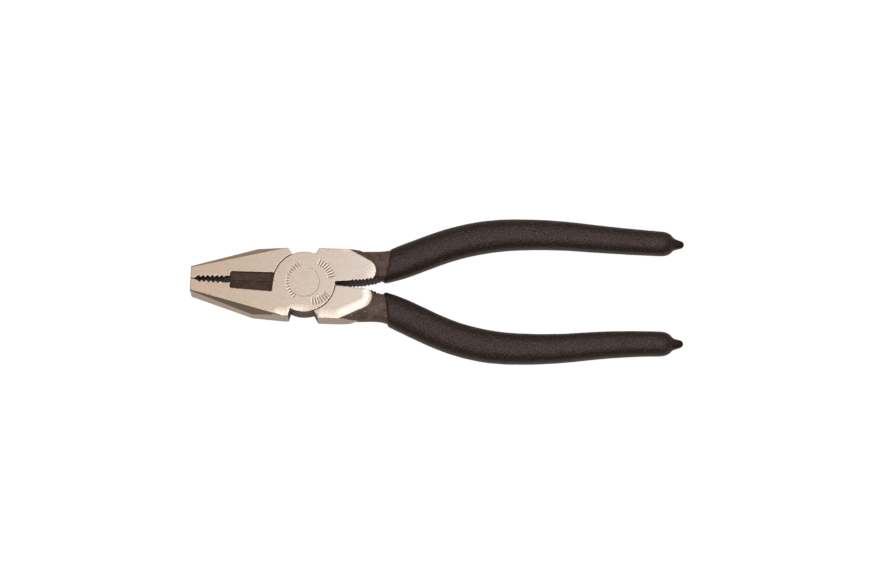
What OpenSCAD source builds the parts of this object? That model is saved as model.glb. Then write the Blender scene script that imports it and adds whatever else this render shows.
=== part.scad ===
// Lineman's pliers with a riveted lap joint, lying on their side with the jaws closed.
// Five pieces: two forged halves that cross at the joint, the rivet that holds them, and a
// dip-moulded vinyl grip on each handle.
// Frame: the origin is on the pivot axis, in the rear face that the tool lies on. +X runs from the
// pivot to the handles, the closed jaws meet on the plane y = 0, and +Z comes out of the front face.
// Modules work about the mid plane of the head, and only the five nodes are laid on z = 0.
// The front half carries the lower jaw, the front lap plate and the upper handle. The rear half is
// the same forging turned half a turn about X, apart from its cutting edge and small differences
// in how the two were ground and bent.

/* [Overall] */
// Length from the jaw tips to the ends of the grips
overall_l = 200; // [190:1:215]
// Thickness of the head over its two ground faces
head_t = 11; // [10:0.5:13]

/* [Head] */
// Distance from the pivot axis to the jaw tips
jaw_l = 46; // [44:0.5:50]
// Width of the head over the joint
head_w = 27.8; // [27:0.2:29]
// Width of the two closed jaws at their tips
nose_w = 10.3; // [8:0.1:13]
// Diameter of the round lap plates
lap_d = 25; // [24:0.5:25.5]
// Angle that each half can swing before the shoulders meet
stop_angle = 44; // [36:1:46]

/* [Rivet] */
// Diameter of the rivet's shank
rivet_d = 9; // [7:0.5:10]
// Diameter of the rivet's countersunk heads
rivet_head_d = 12.2; // [11.5:0.1:14]

/* [Jaws] */
// Spacing of the gripping teeth
tooth_pitch = 1.88; // [1.6:0.02:2]
// Depth of the gripping teeth
tooth_h = 0.8; // [0.5:0.1:1]
// Length of the cutting edges, up to the pivot axis
cutter_reach = 30; // [29:0.5:31]
// Depth of the cutting edges below the front face
edge_depth = 2.1; // [1.5:0.1:3]

/* [Handles] */
// Radial thickness of the vinyl at the far end of a grip
grip_wall = 1.2; // [0.8:0.1:1.6]
// Length of the drip left at the end of a dipped grip
nib_l = 4.2; // [2:0.2:6]

/* [Hidden] */
$fn = 96;
steel = [0.80, 0.72, 0.65];
bright_steel = [0.84, 0.77, 0.70];
vinyl = [0.22, 0.18, 0.17];
past = 1;            // how far a cutting tool runs past the face it cuts
side_reach = 10;     // how far one runs past the closing plane

// Clearances
lap_gap = 0.1;       // between the two lap plates
rim_gap = 0.15;      // around the rim of each lap plate
jaw_gap = 0.02;      // from each jaw's closing face to the plane y = 0
rivet_tight = 0.01;  // radial, in the front half, which the rivet turns with
rivet_free = 0.04;   // radial, in the rear half, which turns on the rivet
bond_gap = 0.02;     // between a tang and the vinyl on it

// Head
face_z = head_t / 2;
lap_r = lap_d / 2;
lower_jaw_y = head_w / 2 + 0.4;        // outer edge of the lower jaw beside the joint
upper_jaw_y = head_w / 2;
upper_root_y = head_w / 2 + 0.3;       // outer edge of the upper handle's root
lower_root_y = head_w / 2 + 0.9;
lower_knee_x = -20.6;                  // where the side of the lower jaw turns towards the tip
upper_knee_x = -19.2;
knee_inset = 0.4;                      // the jaws narrow by this much from the joint to the knee
chamfer_inset = 0.45;                  // the chamfer's width at the jaw tip, in plan
chamfer_end_x = -8.4;                  // where the chamfer runs out at the side
chamfer_slope = 39.5;

// Notch between jaw and handle, whose walls are the stops: it is widest at stop_angle past closed
notch_mid = 92.3;                      // direction of the notch's middle, from the +X axis
notch_lean = 11;                       // how far its walls lean outwards from the radius
lower_wall_lean = -7;                  // the lower jaw's wall was ground nearly square instead
notch_r = lap_r - 0.1;                 // where the walls end, just inside the rim of the plate

// Jaw faces, as offsets from the closing plane
teeth_end = -33.2;                     // last tooth, towards the pivot
tooth_count = 6;
teeth_front_relief = 0.5;
teeth_rear_relief = 0.8;
tip_flat = 1.2;                        // length of the flats that meet at the jaw tips
throat_relief = 1.45;                  // open gap between the teeth and the cutters
tooth_phase = 0.25;                    // shifts each half's teeth, so the tips aren't quite opposed

// Cutters
lower_recess = [3.5, 4.4];             // half width of the recess in the face, at its two ends
upper_recess = [3.4, 3.4];
lower_recess_end = [-lap_r - 0.1, -lap_r - 0.5];   // x of its end, at the edge and at its corner
upper_recess_end = [-lap_r / 2, -lap_r / 2];       // inside the other half's lap plate
cutter_front_slope = 21;
cutter_back_w = 4.2;                   // half width of the deep relief behind the edge
cutter_back_slope = 45;
recess_corner_r = 0.8;

// Handle root, where the head's flat ground face runs out on the forging
gap_y = 0.8;                           // half the gap between the handles at the lap plates
root_inner = [[lap_r, gap_y], [24, 1.6], [27.5, 2.3], [32.2, 3.3]];
upper_inner_shift = -0.25;             // the gap between the handles lies a little low
lower_inner_shift = 0.25;
upper_face_end = [24.1, 5.4, 4.75];    // centre and radius of the face's round end
lower_face_end = [22.5, 5.2, 5.1];
upper_corner_x = 17.7;                 // where the face's outer edge turns towards its round end
lower_corner_x = 14.4;
flank_run = 4.4;                       // how far the forging falls away round the face, in plan
flank_drop = 4.2;                      // and in depth
fall_start = 25;                       // slope where the curve starts and where it ends
fall_end = 85;
fall_step = 12;
grip_tooth_pitch = 1.45;
grip_tooth_h = 0.5;
grip_tooth_x = 19.5;
grip_tooth_count = 9;

// Each handle's centreline as [length, turn in degrees] steps at the nominal length, and its start
upper_steps = [[9.5, 0], [16, 23.1], [14, 0], [33.5, -19.8], [27.5, -7.4], [38, 2.7], [nib_l, 0]];
lower_steps = [[9.5, 0], [16, 24.2], [14, 0], [33.5, -23.5], [27.5, -8], [38, 7.5], [nib_l, -14]];
upper_start = [14, 7.4, 0];
lower_start = [14, 7.8, 0];

// Half widths along each handle's forging and its vinyl's share of grip_wall, as [share of length,
// value], and the half thickness of both forgings
upper_half_w = [[0, 6.45], [0.03, 6.6], [0.075, 7], [0.14, 6], [0.19, 5.95], [0.43, 5.65],
    [0.92, 3.85]];
lower_half_w = [[0, 6.45], [0.03, 6.7], [0.06, 6.8], [0.125, 5.5], [0.19, 5.9], [0.43, 5.65],
    [0.92, 3.85]];
upper_wall = [[0.14, 0.48], [0.19, 0.66], [0.43, 0.88], [0.92, 1]];
lower_wall = [[0.14, 0.85], [0.19, 0.7], [0.43, 0.88], [0.92, 1]];
tang_half_t = [for (k = [[0, 0.9], [0.08, 0.88], [0.14, 0.82], [0.43, 0.76], [0.92, 0.58]])
    [k[0], k[1] * face_z]];

// A handle's way: its steps, their start, its half widths and its wall shares
upper_way = concat(fitted(upper_steps, upper_start), [upper_half_w, upper_wall]);
lower_way = concat(fitted(lower_steps, lower_start), [lower_half_w, lower_wall]);

// Grips and tangs, lengthwise values being shares of the handle's length
lip_round = 0.009;                     // length over which the wall grows from the mouth
lip_share = 0.25;                      // how much of the wall there is at the mouth itself
mouth = 0.137;                         // where the grip starts
mouth_lean = 0.45;                     // run of the mouth along the handle, per unit across it
lean_end = 0.25;                       // where cross-sections are square to the handle again
tang_end = 0.925;
tang_round = 0.035;                    // length of the tang's rounded end
body_end = 0.927;                      // where the grip's end starts to round off
body_round = 0.045;
nib_r = 1.45;
nib_taper = 0.3;                       // growth of the drip's radius per millimetre from its tip
nib_round = 1.1;
nib_root_r = 2.6;
tang_power = 3;                        // superellipse powers of the cross-sections
grip_power = 2.5;
tang_dome = 2.2;                       // and of the rounded ends, seen from the side
grip_dome = 2.5;
short = 0.001;                         // the last rings stop this share before the very ends
ring_n = 28;                           // points round a cross-section

// Total length of a list of [length, turn] steps
function total(steps, i = 0) = i == len(steps) ? 0 : steps[i][0] + total(steps, i + 1);

// Steps and start of a handle, with the steps stretched so that it ends at the overall length
function fitted(steps, start) =
    let (
        end = travel(steps, total(steps), start),
        k = (overall_l - jaw_l - start[0]) / (end[0] - start[0])
    )
    [[for (step = steps) [step[0] * k, step[1]]], start];

// Place and heading [x, y, degrees] after a distance s along steps, from a given start
function travel(steps, s, at, i = 0) =
    let (
        reach = min(s, steps[i][0]),
        turn = steps[i][1] * reach / steps[i][0],
        chord = turn == 0 ? reach : reach * sin(turn / 2) / (turn / 2 * PI / 180),
        aim = at[2] + turn / 2,
        next = [at[0] + chord * cos(aim), at[1] + chord * sin(aim), at[2] + turn]
    )
    i == len(steps) - 1 || s <= steps[i][0] ? next : travel(steps, s - steps[i][0], next, i + 1);

// Falls from 1 to 0 along a rounded end, as t goes from 0 to 1
function dome(t, power) = pow(max(0, 1 - pow(min(max(t, 0), 1), power)), 1 / power);

function signed_pow(v, power) = sign(v) * pow(abs(v), power);

// Superellipse across the handle at share f of its length, leaning as the grip's mouth does
function ring(way, f, half_w, half_t, power) =
    let (
        at = f * total(way[0]),
        lean = lookup(f, [[mouth, mouth_lean], [lean_end, 0]]) * min(1, f / mouth)
    )
    [for (k = [0:ring_n - 1])
        let (
            a = 360 * k / ring_n,
            u = half_w * signed_pow(cos(a), 2 / power),
            v = half_t * signed_pow(sin(a), 2 / power),
            p = travel(way[0], at + u * lean, way[1])
        )
        [p[0] - u * sin(p[2]), p[1] + u * cos(p[2]), v]];

function tang_ring(way, f, extra = 0) =
    let (end = dome((f - tang_end + tang_round) / tang_round, tang_dome))
    ring(way, f + extra / total(way[0]) * (end < 1 ? 1 : 0),
        lookup(f, way[2]) * end + extra, lookup(f, tang_half_t) * end + extra, tang_power);

function nib_radius(way, f) =
    let (to_tip = (1 - f) * total(way[0]))
    to_tip > nib_round
        ? min(nib_root_r, nib_r + nib_taper * (to_tip - nib_round))
        : nib_r * sqrt(max(0, 1 - pow(1 - to_tip / nib_round, 2)));

function grip_ring(way, f) =
    let (
        end = dome((f - body_end) / body_round, grip_dome),
        lip = lip_share + (1 - lip_share) * sin(90 * min(1, (f - mouth) / lip_round)),
        wall = lookup(f, way[3]) * grip_wall * lip,
        half_w = max((lookup(f, way[2]) + wall) * end, nib_radius(way, f)),
        half_t = max((lookup(f, tang_half_t) + wall) * end, nib_radius(way, f))
    )
    ring(way, f, half_w, half_t, grip_power);

// Evenly spaced values from a to b, without a if skip is 1
function spread(a, b, n, skip = 0) = [for (i = [skip:n]) a + (b - a) * i / n];

// Where the tang has rings inside its grip: the grip's cavity uses the same ones, so they fit
sock_stations = concat(
    spread(mouth, tang_end - tang_round, 18),
    spread(tang_end - tang_round, tang_end - short, 4, skip = 1)
);

// A solid through a list of rings that have the same number of points each. slant picks which
// diagonal splits the quads: a lining that runs the other way needs the other one to fit its core
module loft(rings, slant = 0) {
    n = len(rings[0]);
    last = len(rings) - 1;
    function corner(r, k) = r * n + k % n;
    polyhedron(
        points = [for (r = rings) for (p = r) p],
        faces = concat(
            [[for (k = [0:n - 1]) corner(0, k)], [for (k = [n - 1:-1:0]) corner(last, k)]],
            [for (r = [0:last - 1]) for (k = [0:n - 1])
                [corner(r + slant, k), corner(r + 1, k + 1), corner(r, k + 1)]],
            [for (r = [0:last - 1]) for (k = [0:n - 1])
                [corner(r, k), corner(r + 1, k), corner(r + 1 - slant, k + 1)]]
        ),
        convexity = 6
    );
}

// Points along the handle root's inner edge, moved out by shift
function inner_edge(shift) = [for (p = root_inner) p + [0, shift]];

// A point of a notch wall: side is -1 on the handle and 1 on the jaw, and out is its y
function notch_point(side, out, lean = notch_lean) =
    let (
        a = notch_mid + side * stop_angle / 2,
        rim = notch_r * [cos(a), sin(a)],
        aim = a + side * lean
    )
    rim + (out - rim[1]) / sin(aim) * [cos(aim), sin(aim)];

// The jaw seen from the front, below the closing plane
module jaw_plan(outer_y, knee_x, wall_lean) {
    wall_out = notch_point(1, outer_y, wall_lean);
    wall_in = notch_point(1, notch_r * sin(notch_mid + stop_angle / 2));
    teeth_start = teeth_end - (tooth_count - 0.4) * tooth_pitch;
    polygon([
        [-jaw_l, -jaw_gap],
        [-jaw_l, -nose_w / 2],
        [knee_x, knee_inset - outer_y],
        [wall_out[0], -wall_out[1]],
        [wall_in[0], -wall_in[1]],
        [0, -jaw_gap],
        [-cutter_reach, -jaw_gap],
        [-cutter_reach, -throat_relief],
        [teeth_end + 0.6 * tooth_pitch, -throat_relief + 0.1],
        [teeth_end + 0.4 * tooth_pitch, -teeth_rear_relief],
        [teeth_start, -teeth_front_relief],
        [tip_flat - jaw_l, -jaw_gap]
    ]);
}

// V-grooves across an edge that runs through points, one at each x
module grooves(xs, depth, edge) {
    side = depth * sqrt(2);
    for (x = xs)
        translate([x, edge(x), 0])
            rotate([0, 0, 45])
                cube([side, side, head_t + 2 * past], center = true);
}

module jaw_teeth(phase) {
    relief = [[teeth_end - tooth_count * tooth_pitch, teeth_front_relief],
        [teeth_end, teeth_rear_relief]];
    xs = [for (i = [0:tooth_count - 1]) teeth_end - i * tooth_pitch + phase];
    grooves(xs, tooth_h, function (x) -lookup(x, relief));
}

// Planes that take the long corners off the jaw, on both faces
module jaw_chamfers(outer_y) {
    start = [-jaw_l, chamfer_inset - nose_w / 2];
    run = [chamfer_end_x, -outer_y] - start;
    size = 2 * norm(run);
    for (s = [-1, 1])
        translate([start[0], start[1], s * face_z])
            rotate([0, 0, atan2(run[1], run[0])])
                rotate([s * chamfer_slope, 0, 0])
                    translate([-size / 4, -size / 2, s > 0 ? 0 : -size])
                        cube([size, size, size]);
}

// What is ground away beside a cutting edge that lies edge_depth below the +Z face
module cutter_relief(recess, recess_end) {
    x0 = -cutter_reach;
    edge_z = face_z - edge_depth;
    front_w = max(recess);
    back_z = edge_z - cutter_back_w * tan(cutter_back_slope);
    // The recess in the front face
    intersection() {
        translate([x0 - past, 0, 0])
            rotate([90, 0, 90])
                linear_extrude(cutter_reach)
                    polygon([
                        [0, edge_z],
                        [0, face_z + past],
                        [-front_w - past, face_z + past],
                        [-front_w - past, edge_z + (front_w + past) * tan(cutter_front_slope)]
                    ]);
        linear_extrude(face_z + past)
            difference() {
                hull() {
                    translate([x0 + recess_corner_r, -recess[0] + recess_corner_r])
                        circle(recess_corner_r, $fn = 32);
                    polygon([[x0, 0], [recess_end[0], 0], [recess_end[1], -recess[1]]]);
                }
                circle(lap_r);
            }
    }
    // The deep relief from the edge to the back face
    difference() {
        translate([x0, 0, 0])
            rotate([90, 0, 90])
                linear_extrude(cutter_reach - lap_r / 2)
                    polygon([
                        [0, edge_z],
                        [-cutter_back_w, back_z],
                        [-cutter_back_w, -face_z - past],
                        [0, -face_z - past]
                    ]);
        cylinder(h = 2 * head_t, r = lap_r, center = true);
    }
}

// Corners of the handle root's flat ground face, apart from its round end
function root_corners(inner, outer_y, corner_x) = [
    [0, inner[0][1]],
    inner[0],
    [corner_x, outer_y],
    notch_point(-1, outer_y),
    notch_point(-1, notch_r * sin(notch_mid - stop_angle / 2))
];

// Full thickness where the face is ground, and falling away in a curve round it
module handle_root(inner, outer_y, corner_x, face_end) {
    corners = root_corners(inner, outer_y, corner_x);
    reach = face_end[0] + face_end[2] + flank_run;
    intersection() {
        hull() {
            linear_extrude(head_t, center = true) {
                polygon(corners);
                translate([face_end[0], face_end[1]])
                    circle(face_end[2], $fn = 48);
            }
            for (a = [fall_start + fall_step:fall_step:fall_end])
                for (c = concat(corners, [face_end]))
                    translate([c[0], c[1], 0])
                        cylinder(
                            h = head_t - 2 * flank_drop * (cos(fall_start) - cos(a)),
                            r = (c == face_end ? c[2] : 0) + flank_run * (sin(a) - sin(fall_start)),
                            center = true, $fn = 32
                        );
        }
        linear_extrude(head_t + 2 * past, center = true)
            polygon(concat(
                [corners[0]], inner, [[reach, lookup(reach, inner)], [reach, outer_y]],
                [corners[3], corners[4]]
            ));
    }
}

// The shank and the tang inside the grip. The shank's inner side is flat up to the grip's mouth
module tang(way, inner) {
    stations = concat(spread(0, mouth, 8), [for (i = [1:len(sock_stations) - 1]) sock_stations[i]]);
    trim_end = inner[len(inner) - 1][0];
    difference() {
        loft([for (f = stations) tang_ring(way, f)]);
        linear_extrude(head_t + 2 * past, center = true)
            polygon(concat([[lap_r, -side_reach]], inner, [[trim_end, -side_reach]]));
    }
}

// The rivet's solid, grown by a clearance, which is also what the halves are bored with
module rivet_shape(clearance, over = 0) {
    head_slope = 1;
    shank_r = rivet_d / 2 + clearance;
    head_r = rivet_head_d / 2 + clearance + over * head_slope;
    head_h = (head_r - shank_r) / head_slope;
    cylinder(h = head_t, r = shank_r, center = true);
    for (s = [-1, 1])
        translate([0, 0, s * (face_z + over)])
            mirror([0, 0, s > 0 ? 1 : 0])
                cylinder(h = head_h, r1 = head_r, r2 = shank_r);
}

// One forging, as the front half lies: jaw below, handle above. edge_side is 1 where the cutting
// edge is near its +Z face and -1 where it is near its -Z face
module forged_half(
    jaw_y, knee_x, wall_lean, root_y, corner_x, face_end, inner_shift, way,
    edge_side, recess, recess_end, rivet_clearance, phase
) {
    inner = inner_edge(inner_shift);
    color(steel)
        difference() {
            union() {
                difference() {
                    union() {
                        linear_extrude(head_t, center = true)
                            jaw_plan(jaw_y, knee_x, wall_lean);
                        handle_root(inner, root_y, corner_x, face_end);
                    }
                    translate([0, 0, -face_z - past])
                        cylinder(h = face_z + past + lap_gap / 2, r = lap_r + rim_gap);
                }
                translate([0, 0, lap_gap / 2])
                    cylinder(h = face_z - lap_gap / 2, r = lap_r);
                tang(way, inner);
            }
            rivet_shape(rivet_clearance, past);
            jaw_chamfers(jaw_y);
            jaw_teeth(phase);
            mirror([0, 0, edge_side > 0 ? 0 : 1])
                cutter_relief(recess, recess_end);
            grooves([for (i = [0:grip_tooth_count - 1]) grip_tooth_x + i * grip_tooth_pitch],
                grip_tooth_h, function (x) lookup(x, inner));
        }
}

// The dipped vinyl on one handle: a closed sock with the drip at its end
module grip(way) {
    deepest = len(sock_stations) - 1;
    cavity = [for (i = [deepest:-1:0]) tang_ring(way, sock_stations[i], bond_gap)];
    lip = [for (f = spread(mouth, mouth + lip_round, 4)) grip_ring(way, f)];
    body = [for (f = spread(mouth + lip_round, body_end, 22, skip = 1)) grip_ring(way, f)];
    tip = [for (f = spread(body_end, 1 - short / 2, 16, skip = 1)) grip_ring(way, f)];
    color(vinyl)
        loft(concat(cavity, lip, body, tip), slant = 1);
}

// Lays a piece on the plane z = 0, turned over for the rear half of the tool
module laid(turned = false) {
    translate([0, 0, face_z])
        rotate([turned ? 180 : 0, 0, 0])
            children();
}

module front_half() {
    laid()
        forged_half(
            jaw_y = lower_jaw_y, knee_x = lower_knee_x, wall_lean = lower_wall_lean,
            root_y = upper_root_y, corner_x = upper_corner_x, face_end = upper_face_end,
            inner_shift = upper_inner_shift, way = upper_way, edge_side = 1,
            recess = lower_recess, recess_end = lower_recess_end,
            rivet_clearance = rivet_tight, phase = tooth_phase
        );
}

module rear_half() {
    laid(turned = true)
        forged_half(
            jaw_y = upper_jaw_y, knee_x = upper_knee_x, wall_lean = notch_lean,
            root_y = lower_root_y, corner_x = lower_corner_x, face_end = lower_face_end,
            inner_shift = lower_inner_shift, way = lower_way, edge_side = -1,
            recess = upper_recess, recess_end = upper_recess_end,
            rivet_clearance = rivet_free, phase = -tooth_phase
        );
}

module pivot_rivet() {
    color(bright_steel)
        laid()
            rivet_shape(0);
}

module upper_grip() {
    laid()
        grip(upper_way);
}

module lower_grip() {
    laid(turned = true)
        grip(lower_way);
}

front_half();
rear_half();
pivot_rivet();
upper_grip();
lower_grip();
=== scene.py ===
"""Looks, light and camera for the lineman's pliers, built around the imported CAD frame.

Everything is in metres in the CAD frame: the pivot axis is the z axis, the tool lies on z = 0, and
+x runs to the handles. The forged halves and the grips are fine meshes made from their CAD nodes,
with the rounded edges, worn faces and dipped surface that the plain CAD solids leave out.
"""

import math

import bmesh
import bpy
import numpy as np
from mathutils import Euler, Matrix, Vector, noise
from mathutils.bvhtree import BVHTree
from mathutils.kdtree import KDTree

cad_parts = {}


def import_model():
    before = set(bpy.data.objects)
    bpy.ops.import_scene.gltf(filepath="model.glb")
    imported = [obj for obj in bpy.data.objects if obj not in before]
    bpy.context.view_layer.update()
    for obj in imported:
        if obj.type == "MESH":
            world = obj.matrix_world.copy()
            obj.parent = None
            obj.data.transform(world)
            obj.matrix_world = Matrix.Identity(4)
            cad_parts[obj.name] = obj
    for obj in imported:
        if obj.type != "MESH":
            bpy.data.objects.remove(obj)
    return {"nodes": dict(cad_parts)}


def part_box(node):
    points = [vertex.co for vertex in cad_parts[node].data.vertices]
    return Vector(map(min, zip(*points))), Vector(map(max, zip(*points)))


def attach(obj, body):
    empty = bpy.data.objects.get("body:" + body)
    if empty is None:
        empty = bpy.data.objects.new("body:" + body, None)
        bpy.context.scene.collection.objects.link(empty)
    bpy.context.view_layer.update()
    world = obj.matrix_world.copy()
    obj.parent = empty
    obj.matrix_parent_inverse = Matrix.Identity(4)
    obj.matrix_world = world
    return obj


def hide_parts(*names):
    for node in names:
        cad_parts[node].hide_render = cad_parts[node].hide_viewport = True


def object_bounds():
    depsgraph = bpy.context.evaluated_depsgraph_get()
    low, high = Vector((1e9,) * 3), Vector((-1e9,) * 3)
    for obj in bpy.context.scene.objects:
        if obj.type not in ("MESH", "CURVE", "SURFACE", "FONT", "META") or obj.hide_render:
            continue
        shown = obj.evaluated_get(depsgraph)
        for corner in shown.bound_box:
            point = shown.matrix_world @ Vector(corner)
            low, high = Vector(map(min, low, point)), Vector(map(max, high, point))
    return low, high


MM = 0.001

# Meshes
WELD = 0.001 * MM
STEEL_VOXEL = 0.18 * MM
STEEL_SOFTENING = 2          # smoothing steps after the even mesh
VINYL_VOXEL = 0.27 * MM
VINYL_SOFTENING = 3
SHARP_ANGLE = 28             # degrees between two facets that meet in a real edge
EDGE_SPACING = 0.2 * MM      # between the points that stand for an edge
CUTTER_SPACING = 0.04 * MM   # and for a cutting edge
HIDDEN_SHARE = 0.04          # how much of the detail is kept where a grip covers the steel
COVER_DEPTH = 8 * MM         # from a grip's first edge to where it hides the steel all round

# Main sizes of the head, as far as the looks need them
LAP_R = 12.5 * MM            # radius of the round lap plate
NOTCH_HALF = 6.2 * MM        # half the width of the notch beside it
NOSE_X = -40 * MM            # the nose lies beyond this, and the cutters don't
SAME_HEIGHT = 0.01 * MM      # heights closer than this are one height
FLAT = 0.999                 # how far a ground face's normal points along z, at least
FACE_SLACK = 0.15 * MM       # points this close to a ground face's height can be on it

# Where the grinding belt has rolled a ground face over
ROLL_WIDTH = 4.0 * MM        # how far in from an edge it goes
ROLL_DEPTH = 0.48 * MM
ROLL_RUN_OUT = 0.2           # slope on beyond the edge, where the forging takes over
ROLL_REACH = 3.5 * MM        # how far beyond the edge that goes
ROLL_START = -12.5 * MM      # the roll grows from here
ROLL_FULL = -7 * MM          # to its full depth here
ROLL_END = 2.6 * LAP_R       # and it ends here, past the ground faces
ROLL_EDGE_R = 1.08 * LAP_R   # edges nearer the pivot than this belong to the notch and the plate
ROLL_EDGE_Y = 0.26 * LAP_R   # edges nearer the middle line than this stay sharp
NOTCH_DIP = 1.3 * MM         # how far the belt bent into the notch
NOTCH_POINTS = 60            # that stand for the rolled line across it
FAR_ROLL = 0.2               # how much of the roll there is on the belt's far side
FAR_START = 1.75 * LAP_R     # where that side's roll starts

# Where the steel is ground bright
LAP_MARGIN = 0.4 * MM        # walls this near the lap plate keep their dark skin
JAW_START = -1.5 * MM        # the jaws' outer sides are ground from here to the nose
JAW_OUTWARD = -0.2           # a normal there points this far to the handle's side, at most
JAW_FORWARD = 0.3            # and this far along x, at most
NOSE_FORWARD = -0.9          # a normal on the nose points this far along x, at most
STRIP_START = 15.6 * MM      # the ground strip on a shoulder's side narrows from here
STRIP_END = 22.5 * MM        # to a point here
STRIP_OUTWARD = 0.85         # a normal there points this far to the handle's side, at least
STRIP_FORWARD = -0.3         # and this far along x, at least

# Cutters, teeth, painted shade between the jaws, and wear
EDGE_LOSS = 0.14 * MM        # what the even mesh rounds off a cutting edge
EDGE_FADE = 4 * EDGE_LOSS    # the pull that makes up for it fades out over this distance
CUTTER_START = -0.9 * LAP_R  # the cutting edges end before here
CUTTER_Y = 0.1 * MM          # and lie within this of the middle line
PULL_Y = 1 * MM              # points within this of it can be pulled
CUTTER_GAP = 0.002 * MM      # a pull ends this far from the middle line
SEAM_WIDTH = 0.3 * MM        # painted shade along the line where the closed jaws meet
TEETH_SHADE_Y = 3.8 * MM           # the teeth on both sides of the pivot get painted shade within this of the middle line
CUTTER_OUTER_X = -30 * MM       # outer end of the cutters, which get no painted shade
TEETH_GAP_SHADE = 0.55                 # how dark the painted shade on the teeth is, next to the line between the jaws
RUST_START = -15.5 * MM      # the inner end of the cutters has rusted, from here to the pivot
RUST_FADE = 3 * MM
RUST_MARGIN = 0.5 * MM       # up to this far inside the lap plate's edge
WEAR_WIDTH = 0.6 * MM        # width of the worn line along an edge of the forged skin

# A plain ring of punched ticks round the rivet, in three arcs
STAMP_CENTRE = (2.6 * MM, 0.3 * MM)
STAMP_R = 8.5 * MM
STAMP_LENGTH = 2.2 * MM
STAMP_WIDTH = 0.5 * MM
STAMP_DEPTH = 0.05 * MM
STAMP_Z = 0.2 * MM           # only points this close to the front face are stamped
STAMP_STEP = 7.5             # degrees between ticks
STAMP_ARCS = ((127, 226), (11, 73), (-85, -37))

# Grips
JOIN_ANGLE = 50              # degrees two facets may differ by to be joined to one
JOIN_SHAPE_ANGLE = 70        # and degrees its corners may stray from square
UNEVEN_SCALE = 260           # cells per metre in the dipped coat's slow unevenness
UNEVEN_DEPTH = 0.05 * MM
PEEL_SCALE = 1500            # and in its fine orange peel
PEEL_DEPTH = 0.022 * MM
NIB_LENGTH = 4 * MM          # smoother, darker drip at the end of a grip

# Colours, and how deep the relief of each surface is
BRIGHT_NOSE = (0.455, 0.358, 0.28)
BRIGHT_HANDLES = (0.42, 0.375, 0.34)
BRIGHT_SPECKLE = (0.36, 0.275, 0.215)
BRIGHT_RUST = (0.38, 0.20, 0.12)
SKIN_DARK = (0.076, 0.048, 0.038)
SKIN_LIGHT = (0.155, 0.106, 0.086)
SKIN_FLECK = (0.26, 0.17, 0.12)
SKIN_WORN = (0.30, 0.24, 0.2)
SKIN_DARK_TO_NOSE = (0.045, 0.022, 0.014)
DEEP_RUST = (0.085, 0.028, 0.014)
STAMP_DIRT = (0.15, 0.105, 0.07)
# Colour of the painted shade where the closed jaws meet
JAW_GAP_SHADE = (0.02, 0.012, 0.009)
VINYL_DARK = (0.0175, 0.0108, 0.0100)
VINYL_LIGHT = (0.0225, 0.0142, 0.0132)
VINYL_GRAIN_GLINT = (0.050, 0.0355, 0.033)
VINYL_NIB = (0.0125, 0.0075, 0.0070)
VINYL_SHEEN = (1.0, 0.8, 0.77, 1)
FLOOR = (0.88, 0.88, 0.88, 1)
FLOOR_SEEN = (1.08, 1.08, 1.08)        # a little over white, so that it shows evenly white
# what the floor glows in reflections: a painted reflection in the steel
FLOOR_GLOW_IN_REFLECTIONS = (0.74, 0.65, 0.59)
FLOOR_SHADE = 0.1            # share of the floor's look that takes light and shadow
ROOM = (1, 0.9, 0.84, 1)
STEEL_BUMP = 0.5             # strength of the steel's relief
STEEL_BUMP_DEPTH = 0.014 * MM
VINYL_BUMP_DEPTH = 0.09 * MM
NIB_BUMP_DEPTH = 0.03 * MM

# Studio
VIEW_ELEVATION = 75.5        # degrees
VIEW_ROLL = 1.75             # degrees
VIEW_DISTANCE = 1200 * MM
VIEW_TARGET = Vector((53.0, -1.9, 11.0)) * MM
VIEW_WIDTH = 351.5 * MM      # seen across the frame at the target
SENSOR = 36                  # width in Blender's own millimetres
LIGHT_DISTANCE = 2           # metres from the tool to each soft box
ROOM_DIM = 0.3               # strength of the room on the viewer's side
ROOM_PALE = 0.42             # and on the far side
ROOM_DIM_Y = -0.75           # y of the directions where it starts to rise between them
ROOM_PALE_Y = 0.35           # and where it has risen
FLOOR_SIZE = 6


# ---------------------------------------------------------------- meshes


def welded(node):
    """A bmesh of a CAD node, with the corners that its facets share merged."""
    mesh = bmesh.new()
    mesh.from_mesh(node.data)
    bmesh.ops.remove_doubles(mesh, verts=mesh.verts, dist=WELD)
    return mesh


def new_piece(name, mesh):
    """A new object that holds a bmesh, which is freed."""
    data = bpy.data.meshes.new(name)
    mesh.to_mesh(data)
    mesh.free()
    piece = bpy.data.objects.new(name, data)
    bpy.context.scene.collection.objects.link(piece)
    return piece


def bake_modifiers(piece):
    """Applies all the modifiers of a piece to its mesh."""
    depsgraph = bpy.context.evaluated_depsgraph_get()
    data = bpy.data.meshes.new_from_object(piece.evaluated_get(depsgraph))
    piece.modifiers.clear()
    piece.data = data


def even_mesh(piece, voxel, soften_steps):
    """Gives a piece even quads all over, and rounds its edges a little."""
    remesh = piece.modifiers.new("even", "REMESH")
    remesh.mode = "VOXEL"
    remesh.voxel_size = voxel
    soften = piece.modifiers.new("soften", "SMOOTH")
    soften.factor = 0.5
    soften.iterations = soften_steps
    bake_modifiers(piece)


def thin_out(piece, hidden):
    """Keeps only a few facets where hidden is true, which no view can see."""
    group = piece.vertex_groups.new(name="hidden")
    group.add([int(i) for i in np.nonzero(hidden)[0]], 1.0, "REPLACE")
    thin = piece.modifiers.new("thin", "DECIMATE")
    thin.vertex_group = "hidden"
    thin.ratio = 1 - (1 - HIDDEN_SHARE) * float(hidden.mean())
    bake_modifiers(piece)
    piece.vertex_groups.clear()


def points_of(data):
    points = np.empty(len(data.vertices) * 3, np.float32)
    data.vertices.foreach_get("co", points)
    return points.reshape(-1, 3).astype(float)


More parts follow.
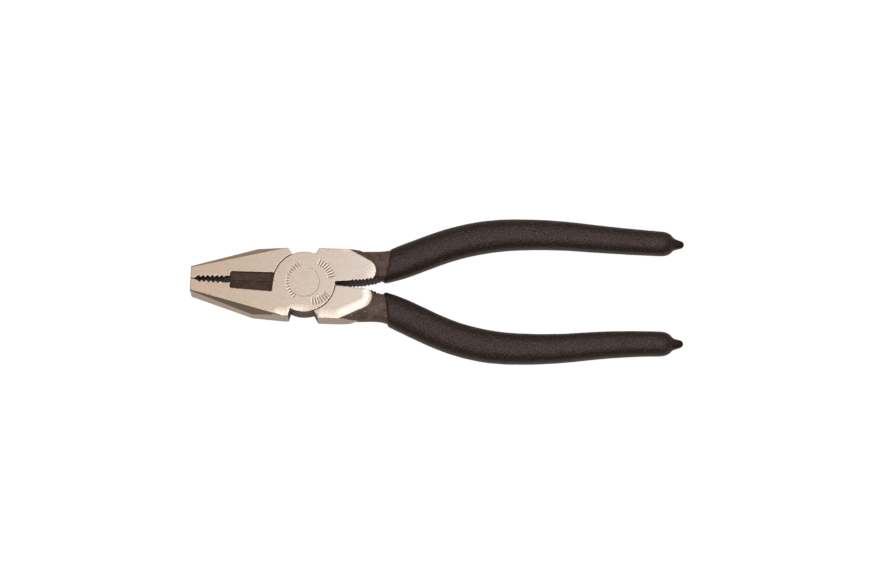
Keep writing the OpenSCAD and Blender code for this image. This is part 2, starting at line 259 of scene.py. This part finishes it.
def move_points(data, points):
    data.vertices.foreach_set("co", points.astype(np.float32).ravel())
    data.update()


def normals_of(data):
    normals = np.empty(len(data.vertices) * 3, np.float32)
    data.vertices.foreach_get("normal", normals)
    return normals.reshape(-1, 3).astype(float)


def paint(data, name, values):
    """Stores one number per vertex, for the materials to read."""
    layer = data.attributes.new(name, "FLOAT", "POINT")
    layer.data.foreach_set("value", values.astype(np.float32))


def shade_smooth(data):
    data.polygons.foreach_set("use_smooth", [True] * len(data.polygons))


def nearest_facets(mesh, points):
    """For each point, the normal of the nearest facet of a bmesh."""
    tree = BVHTree.FromBMesh(mesh)
    return np.array([tree.find_nearest(p)[1] for p in points])


def sharp_edge_points(mesh, wanted, spacing=EDGE_SPACING):
    """Points along the sharp edges of a bmesh for whose middle wanted(middle) is true."""
    limit = math.radians(SHARP_ANGLE)
    found = []
    for edge in mesh.edges:
        a, b = (v.co for v in edge.verts)
        if edge.calc_face_angle(0) < limit or not wanted((a + b) / 2):
            continue
        steps = max(1, math.ceil((b - a).length / spacing))
        found += [a.lerp(b, i / steps) for i in range(steps + 1)]
    return found


def nearest(points, targets):
    """For each point, which target is nearest, and how far away it is."""
    tree = KDTree(len(targets))
    for i, target in enumerate(targets):
        tree.insert(target, i)
    tree.balance()
    found = [tree.find(p) for p in points]
    return np.array([f[1] for f in found]), np.array([f[2] for f in found])


# ---------------------------------------------------------------- forged halves


def rolled_rim(cad, top, front):
    """Points along the edges that the belt has rolled over, with how strongly at each.

    The belt dips over the edges on one side of each face, and across the notch there.
    """
    side = -1 if front else 1

    def on_face(p):
        return abs(p.z - (top if front else 0)) < SAME_HEIGHT

    def outer_edge(p, way):
        beyond_notch = math.hypot(p.x, p.y) > ROLL_EDGE_R and abs(p.x) > NOTCH_HALF
        return on_face(p) and beyond_notch and p.y * way > ROLL_EDGE_Y and p.x > ROLL_START

    near = sharp_edge_points(cad, lambda p: outer_edge(p, side))
    notch_y = min(near, key=lambda p: abs(p.x)).y
    for x in np.linspace(-NOTCH_HALF, NOTCH_HALF, NOTCH_POINTS):
        near.append(Vector((x, notch_y - side * NOTCH_DIP * (1 - (x / NOTCH_HALF) ** 2), 0)))
    far = sharp_edge_points(cad, lambda p: outer_edge(p, -side) and p.x > FAR_START)
    rim = np.array([(p.x, p.y, 0) for p in near + far])
    growth = np.clip((rim[:, 0] - ROLL_START) / (ROLL_FULL - ROLL_START), 0, 1)
    strength = growth ** 2 * (3 - 2 * growth)       # eases in and out
    strength[len(near):] = FAR_ROLL
    return rim, strength


def roll_faces(points, on_face, cad, top):
    """Heights of the points once the belt has rolled both ground faces over."""
    heights = points[:, 2].copy()
    x = points[:, 0]
    for front in (True, False):
        half = heights > top / 2 if front else heights <= top / 2
        part = np.nonzero(half & (x > ROLL_START) & (x < ROLL_END))[0]
        rim, strength = rolled_rim(cad, top, front)
        which, away = nearest(points[part] * (1, 1, 0), rim)
        inside = np.clip(1 - away / ROLL_WIDTH, 0, 1) ** 2
        drop = np.where(on_face[part], ROLL_DEPTH * inside, ROLL_DEPTH + ROLL_RUN_OUT * away)
        drop *= strength[which] * (away < ROLL_REACH)
        if front:
            heights[part] = np.minimum(heights[part], top - drop)
        else:
            heights[part] = np.maximum(heights[part], drop)
    return heights


def is_on_face(points, facing, top):
    """True on the two ground faces of the head."""
    middle = top / 2
    near_face = np.abs(points[:, 2] - middle) > middle - FACE_SLACK
    return (np.abs(facing[:, 2]) > FLAT) & near_face


def ground_share(points, facing, top, handle_side):
    """1 where a half is ground bright and 0 where it keeps its dark forged skin.

    The facing directions are unit vectors. The side of the half's own handle is outward.
    """
    x, y, z = points.T
    height = np.abs(z - top / 2) / (top / 2)
    outward = facing[:, 1] * handle_side
    beyond_lap = np.hypot(x, y) > LAP_R + LAP_MARGIN
    jaw_side = (x < JAW_START) & (outward < JAW_OUTWARD) & (facing[:, 0] < JAW_FORWARD)
    nose = (x < NOSE_X) & (facing[:, 0] < NOSE_FORWARD)
    taper = (STRIP_END - x) / (STRIP_END - STRIP_START)
    on_strip = (outward > STRIP_OUTWARD) & (facing[:, 0] > STRIP_FORWARD)
    strip = (x > 0) & on_strip & (height < taper)
    ground = is_on_face(points, facing, top) | (beyond_lap & (jaw_side | nose | strip))
    return ground.astype(float)


def restore_cutting_edge(points, cad):
    """Draws the rounded-off cutting edge back out, so that the closed cutters meet."""

    def on_edge(p):
        return abs(p.y) < CUTTER_Y and NOSE_X < p.x < CUTTER_START

    edge = sharp_edge_points(cad, on_edge, CUTTER_SPACING)
    part = np.nonzero((np.abs(points[:, 1]) < PULL_Y) & (points[:, 0] < 0))[0]
    away = nearest(points[part], edge)[1]
    side = np.sign(points[part, 1])
    depth = np.abs(points[part, 1])
    pulled = depth - EDGE_LOSS * np.clip(1.5 - away / EDGE_FADE, 0, 1)
    points[part, 1] = side * np.maximum(pulled, np.minimum(depth, CUTTER_GAP))


def stamped(points, top):
    """How deeply each point lies in the punched ticks on the front lap plate, from 0 to 1."""
    x = points[:, 0] - STAMP_CENTRE[0]
    y = points[:, 1] - STAMP_CENTRE[1]
    r = np.hypot(x, y)
    angle = np.degrees(np.arctan2(y, x)) % 360
    turn = np.abs((angle + STAMP_STEP / 2) % STAMP_STEP - STAMP_STEP / 2)
    off_tick = np.radians(turn) * r
    # Both clips are 1 inside a tick and fall to 0 across its soft edge
    across = np.clip(1.5 - off_tick / (STAMP_WIDTH / 2), 0, 1)
    along = np.clip(1.5 - np.abs(r - STAMP_R) / (STAMP_LENGTH / 2), 0, 0.5) * 2
    in_arc = np.zeros(len(points), bool)
    for start, end in STAMP_ARCS:
        in_arc |= (angle - start) % 360 <= end - start
    return np.where(in_arc & (points[:, 2] > top - STAMP_Z), across * along, 0)


def forged_half(node, name, handle_side, covered_x):
    """A forged half's fine mesh, with its ground, forged and worn areas marked."""
    cad = welded(node)
    top = max(v.co.z for v in cad.verts)
    piece = new_piece(name, cad.copy())
    even_mesh(piece, STEEL_VOXEL, STEEL_SOFTENING)
    thin_out(piece, points_of(piece.data)[:, 0] > covered_x)
    points = points_of(piece.data)
    facing = nearest_facets(cad, points)
    on_face = is_on_face(points, facing, top)
    ground = ground_share(points, facing, top, handle_side)
    edge = nearest(points, sharp_edge_points(cad, lambda p: p.x < covered_x))[1]
    # Painted shade along the line where the closed jaws meet, and on the teeth beside it
    gap_shade = np.where(points[:, 0] < -LAP_R, 1 - np.abs(points[:, 1]) / SEAM_WIDTH, 0)
    toothed = (points[:, 0] < CUTTER_OUTER_X) | (points[:, 0] > LAP_R)
    off_nose = facing[:, 0] > NOSE_FORWARD
    teeth_shade = toothed & ~on_face & (np.abs(points[:, 1]) < TEETH_SHADE_Y) & off_nose
    restore_cutting_edge(points, cad)
    points[:, 2] = roll_faces(points, on_face, cad, top)
    stamp = stamped(points, top) * (handle_side > 0)
    points[:, 2] -= STAMP_DEPTH * stamp
    move_points(piece.data, points)
    paint(piece.data, "ground", ground)
    paint(piece.data, "edge", np.clip(1 - edge / WEAR_WIDTH, 0, 1))
    paint(piece.data, "gap_shade", np.clip(np.maximum(gap_shade, TEETH_GAP_SHADE * teeth_shade), 0, 1))
    paint(piece.data, "stamp", stamp)
    paint(piece.data, "jaw", np.clip(-points[:, 0] / LAP_R, 0, 1))
    rust = np.clip((points[:, 0] - RUST_START) / RUST_FADE, 0, 1)
    paint(piece.data, "rust", np.where(points[:, 0] < -LAP_R + RUST_MARGIN, rust, 0))
    shade_smooth(piece.data)
    cad.free()
    return piece


# ---------------------------------------------------------------- grips


def pebbles(points, normals):
    """The points of a dipped coat, moved by a slow unevenness and a fine orange peel."""
    heights = np.empty(len(points))
    for i, p in enumerate(points):
        place = Vector(p)
        slow = noise.noise(place * UNEVEN_SCALE)
        fine = noise.noise(place * PEEL_SCALE)
        heights[i] = UNEVEN_DEPTH * slow + PEEL_DEPTH * fine
    return points + normals * heights[:, None]


def dipped_grip(node, name):
    """A grip's fine mesh, closed round the tang, with the unevenness of dipped vinyl."""
    mesh = welded(node)
    bmesh.ops.join_triangles(
        mesh, faces=mesh.faces, angle_face_threshold=math.radians(JOIN_ANGLE),
        angle_shape_threshold=math.radians(JOIN_SHAPE_ANGLE),
    )
    piece = new_piece(name, mesh)
    rounder = piece.modifiers.new("rounder", "SUBSURF")
    rounder.levels = 2
    rounder.render_levels = 2
    bake_modifiers(piece)
    even_mesh(piece, VINYL_VOXEL, VINYL_SOFTENING)
    points = points_of(piece.data)
    move_points(piece.data, pebbles(points, normals_of(piece.data)))
    from_end = points[:, 0].max() - points[:, 0]
    paint(piece.data, "nib", np.clip(1.5 - from_end / NIB_LENGTH, 0, 1))
    shade_smooth(piece.data)
    return piece


# ---------------------------------------------------------------- materials


class Graph:
    """Short names for building a node material."""

    def __init__(self, name):
        self.material = bpy.data.materials.new(name)
        self.material.use_nodes = True
        self.tree = self.material.node_tree
        self.shader = self.tree.nodes["Principled BSDF"]
        self.place = self.tree.nodes.new("ShaderNodeTexCoord").outputs["Object"]

    def node(self, kind, inputs=None, **settings):
        made = self.tree.nodes.new("ShaderNode" + kind)
        for key, value in settings.items():
            setattr(made, key, value)
        for key, value in (inputs or {}).items():
            self.set(made.inputs[key], value)
        return made

    def set(self, socket, value):
        if isinstance(value, bpy.types.NodeSocket):
            self.tree.links.new(value, socket)
        else:
            socket.default_value = value

    def stretched(self, stretch, turn=0):
        """Coordinates scaled along each axis, then turned about z by some degrees."""
        mapping = self.node("Mapping", {"Vector": self.place})
        mapping.inputs["Scale"].default_value = stretch
        mapping.inputs["Rotation"].default_value = (0, 0, math.radians(turn))
        return mapping.outputs["Vector"]

    def noise(self, scale, detail=2, roughness=0.5, place=None):
        """Noise with scale cells to the metre."""
        made = self.node("TexNoise", {
            "Vector": place or self.place, "Scale": scale, "Detail": detail, "Roughness": roughness,
        })
        return made.outputs["Fac"]

    def voronoi(self, scale):
        """Round cells, scale of them to the metre."""
        made = self.node("TexVoronoi", {"Vector": self.place, "Scale": scale})
        return made.outputs["Distance"]

    def attribute(self, name):
        return self.node("Attribute", attribute_name=name).outputs["Fac"]

    def remap(self, value, low, high, to_low=0.0, to_high=1.0):
        made = self.node("MapRange", {
            "Value": value, "From Min": low, "From Max": high, "To Min": to_low, "To Max": to_high,
        })
        return made.outputs["Result"]

    def math(self, operation, a, b):
        made = self.node("Math", {0: a, 1: b}, operation=operation)
        return made.outputs["Value"]

    def mix(self, share, a, b):
        """A colour between a and b, which are sockets 6 and 7 of a colour Mix node."""
        made = self.node("Mix", data_type="RGBA")
        self.set(made.inputs[0], share)
        self.set(made.inputs[6], (*a, 1) if isinstance(a, tuple) else a)
        self.set(made.inputs[7], (*b, 1) if isinstance(b, tuple) else b)
        return made.outputs[2]

    def blend(self, share, a, b):
        """A number between a and b."""
        made = self.node("Mix", {0: share, 2: a, 3: b}, data_type="FLOAT")
        return made.outputs[0]

    def bump(self, height, strength, depth):
        made = self.node("Bump", {"Height": height, "Strength": strength, "Distance": depth})
        return made.outputs["Normal"]

    def finish(self, **inputs):
        names = {"color": "Base Color", "roughness": "Roughness", "metallic": "Metallic",
                 "normal": "Normal", "specular": "Specular IOR Level"}
        for key, value in inputs.items():
            self.set(self.shader.inputs[names[key]], value)
        return self.material


def bright_metal(g):
    """Colour, roughness and relief of the belt-ground faces, a little warmer towards the nose.

    The grinding lines run along the tool.
    """
    patches = g.noise(140, 3, 0.6)
    speckle = g.noise(2400, 2, 0.6)
    grind = g.noise(900, 3, 0.7, g.stretched((0.12, 1.6, 1), 8))
    along = g.node("SeparateXYZ", {0: g.place}).outputs["X"]
    drift = g.remap(patches, 0, 1, -8 * MM, 8 * MM)
    toward_handles = g.remap(g.math("ADD", along, drift), NOSE_X, 24 * MM)
    color = g.mix(toward_handles, BRIGHT_NOSE, BRIGHT_HANDLES)
    color = g.mix(g.remap(speckle, 0.42, 0.66, 0, 0.6), color, BRIGHT_SPECKLE)
    rust = g.remap(g.noise(420, 4, 0.7), 0.70, 0.75, 0, 0.5)
    color = g.mix(rust, color, BRIGHT_RUST)
    rough = g.remap(g.math("ADD", grind, g.math("MULTIPLY", patches, 0.4)), 0.4, 1.0, 0.26, 0.37)
    relief = g.math("ADD", g.math("MULTIPLY", grind, 0.5), g.math("MULTIPLY", speckle, 0.6))
    return color, rough, relief


def ground_steel():
    """Bright belt-ground faces, a dark forged skin elsewhere, and wear along the edges."""
    g = Graph("ground_steel")
    bright, rough_bright, bright_relief = bright_metal(g)
    ragged = g.math("ADD", g.attribute("ground"), g.remap(g.noise(1900, 3), 0, 1, -0.25, 0.25))
    ground = g.remap(ragged, 0.42, 0.58)

    skin = g.mix(g.remap(g.noise(260, 4, 0.65), 0.35, 0.65), SKIN_DARK, SKIN_LIGHT)
    fleck = g.remap(g.noise(1100, 2), 0.6, 0.7, 0, 0.8)
    skin = g.mix(fleck, skin, SKIN_FLECK)
    skin = g.mix(g.remap(g.attribute("edge"), 0.55, 1, 0, 0.3), skin, SKIN_WORN)
    # The forged skin is painted darker from the lap plate towards the nose
    skin = g.mix(g.math("MULTIPLY", g.attribute("jaw"), 0.6), skin, SKIN_DARK_TO_NOSE)
    rust = g.math("MULTIPLY", g.attribute("rust"), g.remap(g.noise(700, 3), 0.35, 0.65))
    skin = g.mix(rust, skin, DEEP_RUST)

    rough_skin = g.remap(g.noise(900, 2), 0.3, 0.7, 0.5, 0.66)
    skin_relief = g.math("ADD", g.noise(700, 4, 0.7), g.math("MULTIPLY", g.noise(170, 2), 2.0))
    relief = g.blend(ground, g.math("MULTIPLY", skin_relief, 5.0), bright_relief)
    bright = g.mix(g.math("MULTIPLY", g.attribute("stamp"), 0.8), bright, STAMP_DIRT)
    # Painted shade in the gap between the closed jaws and on the teeth beside it
    gap_shade = g.remap(g.attribute("gap_shade"), 0.25, 0.7)
    color = g.mix(gap_shade, g.mix(ground, skin, bright), JAW_GAP_SHADE)
    return g.finish(
        color=color, roughness=g.blend(ground, rough_skin, rough_bright),
        metallic=g.blend(ground, 0.15, 1.0), specular=0.2,
        normal=g.bump(relief, STEEL_BUMP, STEEL_BUMP_DEPTH),
    )


def rivet_steel():
    """The rivet's end, ground flush with the head, with faint turning marks round it."""
    g = Graph("rivet_steel")
    color, rough, relief = bright_metal(g)
    rings = g.node("TexWave", {"Vector": g.place, "Scale": 700, "Distortion": 1.5},
                   wave_type="RINGS", rings_direction="Z").outputs["Fac"]
    relief = g.math("ADD", relief, g.math("MULTIPLY", rings, 0.35))
    return g.finish(color=color, roughness=rough, metallic=1.0,
                    normal=g.bump(relief, STEEL_BUMP, STEEL_BUMP_DEPTH))


def dipped_vinyl():
    """Dark brown dipped vinyl with a fine satin grain, whose light speckles are partly painted
    glints.
    """
    g = Graph("dipped_vinyl")
    pebble = g.voronoi(1250)
    grain = g.noise(1500, 3, 0.6)
    patches = g.noise(120, 3, 0.6)
    color = g.mix(g.remap(patches, 0.3, 0.7), VINYL_DARK, VINYL_LIGHT)
    # Light speckles painted into the colour: partly grain, partly painted glints for the coat's
    # sparkle
    color = g.mix(g.remap(grain, 0.53, 0.66), color, VINYL_GRAIN_GLINT)
    color = g.mix(g.attribute("nib"), color, VINYL_NIB)
    rough = g.remap(g.noise(2000, 2), 0.3, 0.7, 0.22, 0.36)
    # The sheen dies out where the surface turns away from view
    slant = g.node("LayerWeight", {"Blend": 0.5}).outputs["Facing"]
    relief = g.math("ADD", pebble, g.math("MULTIPLY", grain, 2.2))
    bump_depth = g.blend(g.attribute("nib"), VINYL_BUMP_DEPTH, NIB_BUMP_DEPTH)
    g.set(g.shader.inputs["Specular Tint"], VINYL_SHEEN)
    return g.finish(
        color=color, roughness=g.blend(g.attribute("nib"), rough, 0.25), metallic=0.0,
        specular=g.remap(slant, 0.4, 0.9, 0.31, 0.0),
        normal=g.bump(relief, 1.0, bump_depth),
    )


def floor_white():
    """A pale floor that looks evenly white, and glows a duller, warmer colour in reflections: a
    painted reflection for the steel.
    """
    g = Graph("floor")
    g.finish(color=FLOOR, roughness=0.9)
    path = g.node("LightPath").outputs
    # For reflections the floor glows in a set colour, a painted reflection rather than the lit
    # floor
    shade = g.mix(path["Is Camera Ray"], FLOOR_GLOW_IN_REFLECTIONS, FLOOR_SEEN)
    glow = g.node("Emission", {"Color": shade})
    seen = g.node("MixShader", {0: FLOOR_SHADE, 1: glow.outputs[0], 2: g.shader.outputs[0]})
    direct = g.math("MAXIMUM", path["Is Camera Ray"], path["Is Glossy Ray"])
    both = g.node("MixShader", {0: direct, 1: g.shader.outputs[0], 2: seen.outputs[0]})
    g.tree.links.new(both.outputs[0], g.tree.nodes["Material Output"].inputs["Surface"])
    return g.material


def dress(piece, material):
    """Gives a piece one material all over."""
    piece.data.materials.clear()
    piece.data.materials.append(material)


# ---------------------------------------------------------------- studio


def make_camera():
    """A camera high over the tool, a little to -y of it, and rolled a little."""
    data = bpy.data.cameras.new("camera")
    data.sensor_width = SENSOR
    data.lens = SENSOR * VIEW_DISTANCE / VIEW_WIDTH
    data.clip_start = 0.05
    data.clip_end = 20
    camera = bpy.data.objects.new("camera", data)
    bpy.context.scene.collection.objects.link(camera)
    elevation = math.radians(VIEW_ELEVATION)
    back = Vector((0, -math.cos(elevation), math.sin(elevation)))
    camera.location = VIEW_TARGET + back * VIEW_DISTANCE
    camera.rotation_mode = "QUATERNION"
    aim = (-back).to_track_quat("-Z", "Y")
    camera.rotation_quaternion = aim @ Euler((0, 0, math.radians(VIEW_ROLL))).to_quaternion()
    bpy.context.scene.camera = camera


def soft_box(name, lean, across, size, radiance):
    """A panel over the tool, turned from overhead by lean degrees to -y and across to +x."""
    aim = Euler((math.radians(lean), math.radians(across), 0)).to_matrix() @ Vector((0, 0, 1))
    data = bpy.data.lights.new(name, "AREA")
    data.shape = "RECTANGLE"
    data.size = size[0]
    data.size_y = size[1]
    data.energy = radiance * math.pi * size[0] * size[1]
    light = bpy.data.objects.new(name, data)
    light.location = aim * LIGHT_DISTANCE
    light.rotation_mode = "QUATERNION"
    light.rotation_quaternion = (-aim).to_track_quat("-Z", "Y")
    bpy.context.scene.collection.objects.link(light)


def make_world():
    """A pale, warm room, a little darker on the viewer's side."""
    world = bpy.data.worlds.new("room")
    bpy.context.scene.world = world
    world.use_nodes = True
    tree = world.node_tree
    direction = tree.nodes.new("ShaderNodeTexCoord").outputs["Generated"]
    split = tree.nodes.new("ShaderNodeSeparateXYZ")
    tree.links.new(direction, split.inputs[0])
    shade = tree.nodes.new("ShaderNodeMapRange")
    shade.interpolation_type = "SMOOTHSTEP"
    tree.links.new(split.outputs["Y"], shade.inputs["Value"])
    shade.inputs["From Min"].default_value = ROOM_DIM_Y
    shade.inputs["From Max"].default_value = ROOM_PALE_Y
    shade.inputs["To Min"].default_value = ROOM_DIM
    shade.inputs["To Max"].default_value = ROOM_PALE
    tree.links.new(shade.outputs["Result"], tree.nodes["Background"].inputs["Strength"])
    tree.nodes["Background"].inputs["Color"].default_value = ROOM


# ---------------------------------------------------------------- the tool


def build(nodes):
    """Makes both halves and both grips, each on its own body, and dresses the rivet."""
    steel = ground_steel()
    vinyl = dipped_vinyl()
    for side, body, half in ((1, "front", "front_half"), (-1, "rear", "rear_half")):
        grip = "upper_grip" if side > 0 else "lower_grip"
        covered_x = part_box(grip)[0].x + COVER_DEPTH
        forging = forged_half(nodes[half], half + "_steel", side, covered_x)
        dress(forging, steel)
        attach(forging, body)
        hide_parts(half)
        sleeve = dipped_grip(nodes[grip], grip + "_vinyl")
        dress(sleeve, vinyl)
        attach(sleeve, body)
        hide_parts(grip)
    dress(nodes["pivot_rivet"], rivet_steel())


def make_floor(height):
    """A plain floor for the tool to lie on."""
    bpy.ops.mesh.primitive_plane_add(size=FLOOR_SIZE, location=(0, 0, height))
    floor = bpy.context.object
    floor.name = "floor"
    dress(floor, floor_white())


def main():
    """Builds the whole scene, with the floor laid at the lowest point of the CAD parts."""
    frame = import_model()
    cad_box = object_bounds()
    build(frame["nodes"])
    make_floor(cad_box[0].z)
    soft_box("overhead", lean=-10, across=0, size=(3.0, 1.3), radiance=0.53)
    soft_box("strip", lean=2, across=6, size=(2.4, 0.45), radiance=4.8)
    make_world()
    make_camera()
    bpy.context.scene.view_settings.view_transform = "Standard"


main()
